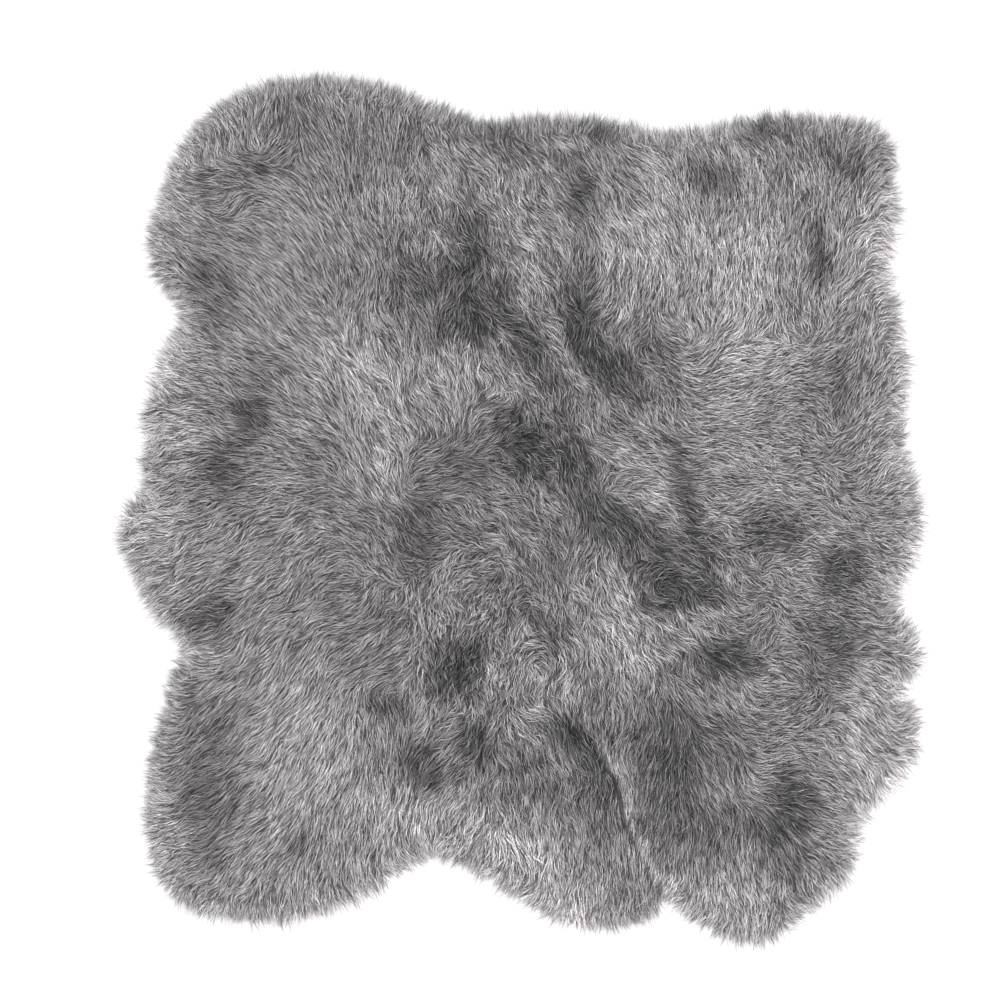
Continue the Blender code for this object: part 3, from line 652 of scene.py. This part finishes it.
def end_on_creases(points, rng):
    """Shortens most strands that would cross a crease, so that they end on it or near it."""
    root, reach = points[:, 0, :2], points[:, 2, :2] - points[:, 0, :2]
    share = np.ones(len(points))
    for crease in CREASES:
        way = half_way(crease)
        offset = place(crease.x, crease.y) - root
        across = reach[:, 0] * way[1] - reach[:, 1] * way[0]
        across = np.where(np.abs(across) < TINY, TINY, across)
        along_strand = (offset[:, 0] * way[1] - offset[:, 1] * way[0]) / across
        along_crease = (offset[:, 0] * reach[:, 1] - offset[:, 1] * reach[:, 0]) / across
        crossing = (np.abs(along_crease) < 1) & (along_strand > 0) & (along_strand < 1)
        crossing &= rng.random(len(points)) < CREASE_KEPT * crease.depth
        share = np.where(crossing, np.minimum(share, along_strand), share)
    share += (share < 1) * rng.normal(0, CREASE_LAP, len(points))
    share = np.clip(share, CUT_AT_LEAST, 1)
    return points[:, :1] + (points - points[:, :1]) * share[:, None, None]


def tuft_place(maps, starts):
    """The tuft of each strand, and how far along it the strand starts: -1 to 1, less where smooth."""
    drift = np.stack((maps.look_up(maps.drift_x, starts), maps.look_up(maps.drift_y, starts)), 1)
    tuft = nearest(starts + drift, maps.tufts)
    ahead = np.sum((starts + drift - maps.tufts[tuft]) * maps.streak(starts, maps.flow(starts)), 1)
    return tuft, np.clip(ahead / (TUFT_HALF * TUFT_SPACING), -1, 1) * maps.look_up(maps.rough, starts)


def make_strands(maps, fringe, rng):
    """Points of all the strands of one kind, from root to tip, with each one's tone."""
    least, most = (SKIN_DEPTH, FRINGE_DEPTH) if fringe else (BODY_DEPTH, FAR_INSIDE)
    count = FRINGE_STRANDS if fringe else BODY_STRANDS
    starts = scattered(maps, math.sqrt(band_area(maps, least, most) / count), least, most, rng)
    centres = scattered(maps, CLUMP_SPACING, CLUMP_DEPTH, FAR_INSIDE, rng)
    clump = nearest(starts, centres)
    tuft, ahead = tuft_place(maps, starts)
    n = len(starts)
    rough = maps.look_up(maps.rough, starts)
    clumped = CLUMPED_LEAST + CLUMPED_ROUGH * rough
    stray = rng.random(n) < (FRINGE_STRAYS if fringe else BODY_STRAYS)
    turn = rng.normal(0, CLUMP_TURN, len(centres))[clump] * clumped
    turn += rng.normal(0, STRAND_TURN, n)
    turn += stray * rng.normal(0, STRAY_TURN, n)
    fuzz = maps.look_up(maps.fuzz, starts)
    turn *= 1 + FUZZY_TURN * fuzz
    length = rng.uniform(*CLUMP_LENGTH, len(centres))[clump]
    length *= rng.uniform(*(FRINGE_LENGTH if fringe else BODY_LENGTH), n) * (1 - FUZZY_CUT * fuzz)
    if fringe:
        turn += rng.normal(0, FRINGE_TURN, n)
        length *= 1 + FRINGE_RIGHT * maps.look_up(maps.out_x, starts)
        length *= 1 + FRINGE_LONG * (rng.random(n) < FRINGE_LONG_SHARE)
        paths = fringe_paths(maps, starts, turn, length)
        ahead *= FRINGE_TUFTED
    else:
        turn += rng.normal(0, TUFT_TURN, len(maps.tufts))[tuft] * rough
        paths = body_paths(maps, starts, turn, length, rng)

    pull = rng.uniform(*PULL, n) * (PULL_LEAST + PULL_ROUGH * rough)
    pull = np.where(stray, PULL_STRAY, pull)
    offset = starts - centres[clump]
    along = paths[:, 2] - paths[:, 0]
    along /= np.linalg.norm(along, axis=1)[:, None] + TINY
    bend = np.stack((-along[:, 1], along[:, 0]), 1) * rng.normal(0, STRAND_BEND, n)[:, None]
    lift = rng.normal(0, CLUMP_LIFT, len(centres))[clump] * clumped + rng.uniform(*STRAND_LIFT, n)
    lift += TUFT_LIFT * ahead
    points = np.zeros((n, 3, 3))
    for k in range(3):
        spot = paths[:, k] - offset * (pull * (k / 2) ** PULL_CURVE)[:, None] + bend * (k == 1)
        points[:, k, :2] = spot
        top = maps.look_up(maps.soft_top, spot) * PROFILE[k] + lift * LIFT_ALONG[k]
        points[:, k, 2] = np.clip(top, *HEIGHT_RANGE)
    points = end_on_creases(points, rng)

    tone = USUAL_TONE + clumped * rng.normal(0, CLUMP_TONE, len(centres))[clump]
    tone *= rng.normal(1.0, TONE_SPREAD + TONE_SPREAD_ROUGH * rough, n)
    tone = np.clip(tone, *TONE_RANGE)
    # painted shade: these nearly black strands stand for the shadowed gaps between locks
    tone *= np.where(rng.random(n) < GAP_PAINTED_SHADE_SHARE + GAP_PAINTED_SHADE_SHARE_ROUGH * rough, GAP_PAINTED_SHADE, 1.0)
    # painted light on the tip side of each tuft and painted shade on its root side
    tone *= 1 + TUFT_PAINTED_SHADING * ahead
    tone *= maps.look_up(maps.tone, points[:, 1]) ** rng.uniform(*TONE_TAKEN, n)
    rooted = maps.look_up(maps.depth, points[:, 0]) > SKIN_DEPTH
    return points[rooted], tone[rooted]


def strand_mesh(name, maps, points, tone, half_width, rng):
    """Joined tapering ribbons with a colour at each point and a bake cell for each strand."""
    n = len(points)
    verts = np.zeros((n, 5, 3))
    roll = rng.normal(0, STRAND_ROLL, n)
    for k in range(2):
        along = points[:, k + 1] - points[:, max(k - 1, 0)]
        along /= np.linalg.norm(along, axis=1)[:, None] + TINY
        side = np.stack((-along[:, 1], along[:, 0], np.zeros(n)), 1)
        side /= np.linalg.norm(side, axis=1)[:, None] + TINY
        rise = np.cross(side, along)
        across = side * np.cos(roll)[:, None] + rise * np.sin(roll)[:, None]
        width = half_width[k] * (LEAST_WIDTH + MORE_WIDTH * rng.random(n))[:, None]
        verts[:, 2 * k] = points[:, k] - across * width
        verts[:, 2 * k + 1] = points[:, k] + across * width
    verts[:, 4] = points[:, 2]
    verts[:, :, 2] = np.maximum(verts[:, :, 2], LOWEST)

    pattern = np.array((0, 1, 3, 2, 2, 3, 4))  # one four-sided face, then the tip's triangle
    loops = (np.arange(n)[:, None] * 5 + pattern).ravel()
    sizes = np.tile((4, 3), n)
    mesh = bpy.data.meshes.new(name)
    mesh.vertices.add(n * 5)
    mesh.vertices.foreach_set("co", verts.ravel())
    mesh.loops.add(len(loops))
    mesh.loops.foreach_set("vertex_index", loops)
    mesh.polygons.add(n * 2)
    mesh.polygons.foreach_set("loop_start", np.concatenate(((0,), np.cumsum(sizes)[:-1])))
    mesh.polygons.foreach_set("use_smooth", np.ones(n * 2, bool))
    mesh.update(calc_edges=True)

    # painted light paling the rim and painted shade darkening the creases, looked up at each point
    painted_light_and_shade = maps.look_up(maps.painted_light_and_shade, verts.reshape(-1, 3)).reshape(n, 5)
    # painted shade along each strand, darker at its root, with random mottling
    mottled = rng.uniform(*MOTTLED, (n, 3))[:, (0, 0, 1, 1, 2)] * np.array(PAINTED_SHADE_ALONG)
    colour = np.ones((n, 5, 4))
    colour[:, :, :3] = (tone[:, None] * painted_light_and_shade * mottled)[:, :, None] * np.array(WOOL_COLOUR)
    layer = mesh.color_attributes.new("wool_colour", "FLOAT_COLOR", "POINT")
    layer.data.foreach_set("color", colour.ravel())

    cells = math.ceil(math.sqrt(n))
    corner = np.stack((np.arange(n) % cells, np.arange(n) // cells), 1)[:, None, :]
    inner = np.array(((0.2, 0.1), (0.8, 0.1), (0.2, 0.5), (0.8, 0.5), (0.5, 0.9)))
    uv = ((corner + inner[None]) / cells)[:, pattern]
    bake = mesh.uv_layers.new(name="OFBake")
    bake.data.foreach_set("uv", uv.ravel())
    return mesh


def add_piece(name, mesh, material):
    """An object of the rug's one body, with its material."""
    piece = bpy.data.objects.new(name, mesh)
    bpy.context.scene.collection.objects.link(piece)
    if not mesh.materials:
        mesh.materials.append(material)
    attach(piece, "root")
    return piece


def new_material(name, roughness):
    """A material with its node tree and its shader."""
    material = bpy.data.materials.new(name)
    material.use_nodes = True
    shader = material.node_tree.nodes["Principled BSDF"]
    shader.inputs["Roughness"].default_value = roughness
    return material, material.node_tree, shader


def strand_material():
    """Wool fibres, in the colour that each strand carries."""
    material, tree, shader = new_material("wool_strands", roughness=0.62)
    shader.inputs["Specular IOR Level"].default_value = 0.35
    colour = tree.nodes.new("ShaderNodeVertexColor")
    colour.layer_name = "wool_colour"
    tree.links.new(colour.outputs["Color"], shader.inputs["Base Color"])
    return material


def add_noise(tree, scale, detail):
    """Noise on the object's own coordinates, in metres."""
    where = tree.nodes.new("ShaderNodeTexCoord")
    texture = tree.nodes.new("ShaderNodeTexNoise")
    texture.inputs["Scale"].default_value = scale
    texture.inputs["Detail"].default_value = detail
    tree.links.new(where.outputs["Object"], texture.inputs["Vector"])
    return texture.outputs["Fac"]


def add_ramp(tree, value, low_colour, high_colour, low=0.3, high=0.7):
    """Turns a value into a colour between two."""
    ramp = tree.nodes.new("ShaderNodeValToRGB")
    ramp.color_ramp.elements[0].position = low
    ramp.color_ramp.elements[1].position = high
    ramp.color_ramp.elements[0].color = (*low_colour, 1.0)
    ramp.color_ramp.elements[1].color = (*high_colour, 1.0)
    tree.links.new(value, ramp.inputs["Fac"])
    return ramp.outputs["Color"]


def add_bump(tree, shader, value, distance, strength):
    """Roughens the shading of a surface by a value."""
    bump = tree.nodes.new("ShaderNodeBump")
    bump.inputs["Distance"].default_value = distance
    bump.inputs["Strength"].default_value = strength
    tree.links.new(value, bump.inputs["Height"])
    tree.links.new(bump.outputs["Normal"], shader.inputs["Normal"])


def undercoat_material():
    """Matted wool, mottled by its fibres."""
    material, tree, shader = new_material("wool_undercoat", roughness=0.95)
    colour = tree.nodes.new("ShaderNodeVertexColor")
    colour.layer_name = "wool_colour"
    mix = tree.nodes.new("ShaderNodeMix")
    mix.data_type = "RGBA"
    mix.blend_type = "MULTIPLY"
    mix.inputs["Factor"].default_value = 1.0
    fibres = add_noise(tree, scale=420.0, detail=3.0)
    tree.links.new(colour.outputs["Color"], mix.inputs["A"])
    tree.links.new(add_ramp(tree, fibres, *COAT_SHADES), mix.inputs["B"])
    tree.links.new(mix.outputs["Result"], shader.inputs["Base Color"])
    add_bump(tree, shader, fibres, distance=2 * MM, strength=0.8)
    return material


def hide_material():
    """Tanned hide, a little stained and grained."""
    material, tree, shader = new_material("tanned_hide", roughness=0.85)
    stains = add_noise(tree, scale=9.0, detail=5.0)
    tree.links.new(add_ramp(tree, stains, *HIDE_COLOURS), shader.inputs["Base Color"])
    grain = add_noise(tree, scale=900.0, detail=4.0)
    add_bump(tree, shader, grain, distance=0.4 * MM, strength=0.5)
    return material


def thread_material():
    """Waxed sewing thread, mottled light and dark as painted shade of its twisted plies."""
    material, tree, shader = new_material("seam_thread", roughness=0.6)
    twist_shade = add_noise(tree, scale=2500.0, detail=2.0)
    tree.links.new(add_ramp(tree, twist_shade, *THREAD_COLOURS), shader.inputs["Base Color"])
    return material


def skin_outline(node):
    """The loop where the pelt's wool proper meets the floor, without its rim locks."""
    mesh = bmesh.new()
    mesh.from_mesh(node.data)
    bmesh.ops.remove_doubles(mesh, verts=mesh.verts, dist=WELD)
    under = {face for face in mesh.faces
             if face.normal.z < FACING_DOWN and face.calc_center_median().z < MM}
    following = {}
    for edge in mesh.edges:
        below = [face for face in edge.link_faces if face in under]
        if len(below) == 1:
            loop = next(loop for loop in edge.link_loops if loop.face is below[0])
            following[loop.vert] = loop.link_loop_next.vert
    vert = start = next(iter(following))
    loop = []
    while True:
        if max(edge.other_vert(vert).co.z for edge in vert.link_edges) > WOOL_MEETS_FLOOR:
            loop.append((vert.co.x, vert.co.y))
        vert = following[vert]
        if vert is start:
            break
    mesh.free()
    return np.array(loop)


def skin_mesh(name, outline):
    """The tanned skin: a thin closed sheet just above the floor."""
    mesh = bmesh.new()
    face = mesh.faces.new([mesh.verts.new((x, y, SKIN_LOW)) for x, y in outline])
    top = bmesh.ops.extrude_face_region(mesh, geom=[face])
    bmesh.ops.translate(mesh, verts=[v for v in top["geom"] if isinstance(v, bmesh.types.BMVert)],
                        vec=(0, 0, SKIN_THICK))
    bmesh.ops.triangulate(mesh, faces=mesh.faces)
    bmesh.ops.recalc_face_normals(mesh, faces=mesh.faces)
    data = bpy.data.meshes.new(name)
    mesh.to_mesh(data)
    mesh.free()
    return data


def seam_lines(outlines):
    """Runs of outline points that two skins share, in order."""
    lines = []
    for k, outline in enumerate(outlines):
        for other in outlines[k + 1:]:
            gap = np.linalg.norm(outline[:, None] - other[None], axis=2).min(1)
            shared = gap < SEAM_REACH
            if shared.sum() < SEAM_LEAST:
                continue
            first = next(i for i in range(len(shared)) if shared[i] and not shared[i - 1])
            run = np.roll(outline, -first, 0)[np.roll(shared, -first)]
            lines.append(run)
    return lines


def stitching_mesh(lines):
    """Overcast stitches: short slanting threads that cross each seam on the skin side."""
    mesh = bmesh.new()
    for line in lines:
        reached = np.concatenate(((0.0,), np.cumsum(np.linalg.norm(np.diff(line, axis=0), axis=1))))
        for at in np.arange(STITCH_PITCH, reached[-1] - STITCH_PITCH, STITCH_PITCH):
            x, y = (np.interp(at, reached, line[:, k]) for k in (0, 1))
            ahead = [np.interp(at + MM, reached, line[:, k]) for k in (0, 1)]
            heading = math.atan2(ahead[1] - y, ahead[0] - x) + STITCH_SLANT
            add_stitch(mesh, Vector((x, y, 0.0)), heading)
    data = bpy.data.meshes.new("seam_stitching")
    mesh.to_mesh(data)
    mesh.free()
    data.shade_smooth()
    return data


def add_stitch(mesh, middle, heading):
    """One stitch: a four-sided thread that bows away from the skin and thins at its ends."""
    along = Vector((math.cos(heading), math.sin(heading), 0.0))
    side = Vector((-along.y, along.x, 0.0))
    rings = []
    for reach, size in STITCH_FORM:
        spot = middle + along * reach * STITCH_REACH
        spot.z = SKIN_LOW - STITCH_GAP - STITCH_BOW * (1 - reach * reach)
        radius = STITCH_RADIUS * size
        ring = []
        for corner in THREAD_CORNERS:
            rise = Vector((0, 0, radius * math.sin(corner)))
            ring.append(mesh.verts.new(spot + side * radius * math.cos(corner) + rise))
        rings.append(ring)
    for low, high in zip(rings, rings[1:]):
        for i in range(4):
            mesh.faces.new((low[i], low[(i + 1) % 4], high[(i + 1) % 4], high[i]))
    mesh.faces.new(rings[0][::-1])
    mesh.faces.new(rings[-1])


def undercoat_mesh(maps, node):
    """The dense wool under the strands: the pelt's own form, lower and drawn in at the rim."""
    mesh = bmesh.new()
    mesh.from_mesh(node.data)
    bmesh.ops.remove_doubles(mesh, verts=mesh.verts, dist=WELD)
    bmesh.ops.subdivide_edges(mesh, edges=mesh.edges, cuts=1, use_grid_fill=True)
    spots = np.array([v.co for v in mesh.verts])
    out = np.stack((maps.look_up(maps.out_x, spots), maps.look_up(maps.out_y, spots)), 1)
    depth = maps.look_up(maps.depth, spots)
    pull = np.clip((COAT_RIM - depth) / COAT_RIM_BAND, 0, 1) * COAT_DRAWN
    spots[:, :2] -= out * pull[:, None]
    within = np.clip(depth / COAT_SLOPE, 0, 1) ** COAT_CURVE
    foot = np.where(depth < COAT_FLAT, COAT_LOW, COAT_HIGH)
    spots[:, 2] = foot + spots[:, 2] * (COAT_HEIGHT + COAT_HEIGHT_INSIDE * within)
    for vert, spot in zip(mesh.verts, spots):
        vert.co = spot
    data = bpy.data.meshes.new(node.name + "_undercoat")
    mesh.to_mesh(data)
    mesh.free()
    # painted shade: the undercoat is darkened inwards, where the long wool covers it
    tone = maps.look_up(maps.tone, spots) * (COAT_TONE - COAT_PAINTED_SHADE_INSIDE * within)
    colour = np.ones((len(spots), 4))
    colour[:, :3] = tone[:, None] * np.array(WOOL_COLOUR)
    layer = data.color_attributes.new("wool_colour", "FLOAT_COLOR", "POINT")
    layer.data.foreach_set("color", colour.ravel())
    data.shade_smooth()
    return data


def make_camera():
    """A camera that looks straight down, as the photograph does."""
    data = bpy.data.cameras.new("camera")
    data.sensor_width = SENSOR
    data.lens = SENSOR * (CAMERA_HEIGHT - RIM_HEIGHT) / FRAME_WIDTH
    camera = bpy.data.objects.new("camera", data)
    bpy.context.scene.collection.objects.link(camera)
    camera.location = (*CAMERA_AT, CAMERA_HEIGHT)
    bpy.context.scene.camera = camera


def make_studio():
    """The pale floor, the two lamps and the sky."""
    mesh = bmesh.new()
    bmesh.ops.create_grid(mesh, x_segments=1, y_segments=1, size=FLOOR_REACH)
    data = bpy.data.meshes.new("floor")
    mesh.to_mesh(data)
    mesh.free()
    floor = bpy.data.objects.new("floor", data)
    floor.location.z = -FLOOR_DROP
    bpy.context.scene.collection.objects.link(floor)
    material, tree, shader = new_material("floor_paint", roughness=0.8)
    shader.inputs["Base Color"].default_value = FLOOR_COLOUR
    data.materials.append(material)
    floor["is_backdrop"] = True
    key = bpy.data.lights.new("key_lamp", "SUN")
    key.energy, key.angle = KEY_POWER, KEY_SOFTNESS
    fill = bpy.data.lights.new("fill_lamp", "AREA")
    fill.energy, fill.size = FILL_POWER, FILL_SIZE
    for light, spot in ((key, KEY_AT), (fill, FILL_AT)):
        lamp = bpy.data.objects.new(light.name, light)
        lamp.location = spot
        lamp.rotation_euler = (-Vector(spot)).to_track_quat("-Z", "Y").to_euler()
        bpy.context.scene.collection.objects.link(lamp)
    world = bpy.data.worlds.new("studio")
    bpy.context.scene.world = world
    world.use_nodes = True
    world.node_tree.nodes["Background"].inputs["Color"].default_value = (1, 1, 1, 1)
    world.node_tree.nodes["Background"].inputs["Strength"].default_value = SKY_STRENGTH
    bpy.context.scene.view_settings.view_transform = "Standard"


def main():
    """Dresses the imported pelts."""
    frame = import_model()
    nodes = [frame["nodes"][name] for name in sorted(frame["nodes"])]
    rng = np.random.default_rng(SEED)
    maps = Maps(nodes, rng)
    make_camera()
    make_studio()

    wool, under, hide, thread = strand_material(), undercoat_material(), hide_material(), thread_material()
    body, body_tone = make_strands(maps, False, rng)
    fringe, fringe_tone = make_strands(maps, True, rng)
    body_pelt, fringe_pelt = maps.pelt_at(body[:, 0]), maps.pelt_at(fringe[:, 0])
    outlines = [skin_outline(node) for node in nodes]
    for k, node in enumerate(nodes):
        name = node.name
        mine = body_pelt == k
        coat_mesh = strand_mesh(name + "_wool", maps, body[mine], body_tone[mine], BODY_HALF_WIDTH, rng)
        coat = add_piece(name + "_wool", coat_mesh, wool)
        mine = fringe_pelt == k
        tone = fringe_tone[mine]
        rim_mesh = strand_mesh(name + "_fringe", maps, fringe[mine], tone, FRINGE_HALF_WIDTH, rng)
        rim = add_piece(name + "_fringe", rim_mesh, wool)
        base = add_piece(name + "_undercoat", undercoat_mesh(maps, node), under)
        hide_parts(name)
        skin = add_piece(name + "_skin", skin_mesh(name + "_skin", outlines[k]), hide)
    stitching = stitching_mesh(seam_lines(outlines))
    add_piece("seam_stitching", stitching, thread)


main()
